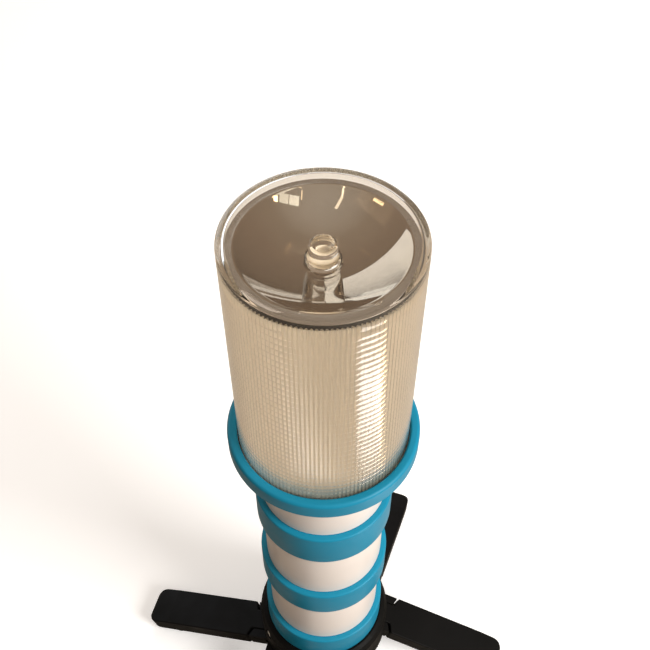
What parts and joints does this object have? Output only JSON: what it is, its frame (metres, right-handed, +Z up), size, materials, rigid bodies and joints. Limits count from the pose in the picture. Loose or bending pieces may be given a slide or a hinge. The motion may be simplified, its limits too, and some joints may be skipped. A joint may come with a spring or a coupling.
{
  "type": "traffic baton light",
  "caption": "Free-standing traffic baton light: clear prismatic head with a mirror dish in its top, blue banded grip, black hub and fold-down legs.",
  "frame": {"origin": "on the floor, under the middle of the baton's axis", "axes": "+Z up along the baton; +X towards the right leg, +Y towards the button and the back leg"},
  "size_m": [0.204, 0.2028, 0.3335],
  "materials": {
    "clear_polycarbonate": "clear, prismatic, glossy",
    "vacuum_mirror": "vacuum-metallised mirror, warm grey",
    "black_rubber": "matt",
    "blue_abs": "semi-gloss moulded",
    "cream_diffuser": "matt translucent",
    "aluminium": "satin",
    "green_board": "solder mask",
    "pale_reflective_film": "retroreflective film, satin",
    "black_nylon": "satin moulded",
    "brass": "satin",
    "cell_jacket": "printed jacket, semi-gloss",
    "red_insulation": "satin",
    "zinc_steel": "zinc plated"
  },
  "bodies": {
    "housing": {"lens": "clear_polycarbonate", "reflector_dish": "vacuum_mirror", "top_light_post": "clear_polycarbonate", "dish_seal": "black_rubber", "lens_seal": "black_rubber", "lens_collar": "blue_abs", "inner_diffuser": "cream_diffuser", "led_mast": "aluminium", "led_board_1": "green_board", "led_board_2": "green_board", "led_board_3": "green_board", "led_board_4": "green_board", "top_led_board": "green_board", "driver_board": "green_board", "body_tube": "blue_abs", "reflective_band_1": "pale_reflective_film", "reflective_band_2": "pale_reflective_film", "reflective_band_3": "pale_reflective_film", "button_bezel": "black_nylon", "switch_housing": "black_nylon", "controller_board": "green_board", "contact_carrier": "black_nylon", "contact_plate": "brass", "battery_tube": "black_nylon", "battery_cell_1": "cell_jacket", "battery_cell_2": "cell_jacket", "lead_red": "red_insulation", "lead_black": "black_rubber", "leg_hub": "black_nylon", "hinge_pin_right": "zinc_steel", "hinge_pin_back": "zinc_steel", "hinge_pin_left": "zinc_steel", "hinge_pin_front": "zinc_steel", "hub_screw_1": "zinc_steel", "hub_screw_2": "zinc_steel", "hub_screw_3": "zinc_steel", "hub_screw_4": "zinc_steel"},
    "button_slider": {"button": "black_rubber"},
    "bottom_cap": {"battery_cap": "black_nylon", "cap_seal": "black_rubber", "cap_spring": "zinc_steel"},
    "right_leg": {"leg_right": "black_nylon", "foot_pad_right": "black_rubber"},
    "back_leg": {"leg_back": "black_nylon", "foot_pad_back": "black_rubber"},
    "left_leg": {"leg_left": "black_nylon", "foot_pad_left": "black_rubber"},
    "front_leg": {"leg_front": "black_nylon", "foot_pad_front": "black_rubber"}
  },
  "joints": [
    {"name": "button_press", "type": "slide", "parent": "housing", "child": "button_slider", "axis": [0, -1, 0], "range_m": [0, 0.0015], "stiffness_N_per_m": 600, "springref_m": -0.001},
    {"name": "cap_twist", "type": "hinge", "parent": "housing", "child": "bottom_cap", "pos_m": [0, 0, 0.02], "axis": [0, 0, 1], "range_deg": [0, 90]},
    {"name": "right_leg_fold", "type": "hinge", "parent": "housing", "child": "right_leg", "pos_m": [0.026, 0.011, 0.03], "axis": [0, 1, 0], "range_deg": [0, 60]},
    {"name": "back_leg_fold", "type": "hinge", "parent": "housing", "child": "back_leg", "pos_m": [0.01534, 0.02523, 0.03], "axis": [-0.9986, 0.0523, 0], "range_deg": [0, 60]},
    {"name": "left_leg_fold", "type": "hinge", "parent": "housing", "child": "left_leg", "pos_m": [-0.026, -0.0125, 0.03], "axis": [0, -1, 0], "range_deg": [0, 60]},
    {"name": "front_leg_fold", "type": "hinge", "parent": "housing", "child": "front_leg", "pos_m": [-0.01534, -0.02523, 0.03], "axis": [0.9986, -0.0523, 0], "range_deg": [0, 60]}
  ]
}
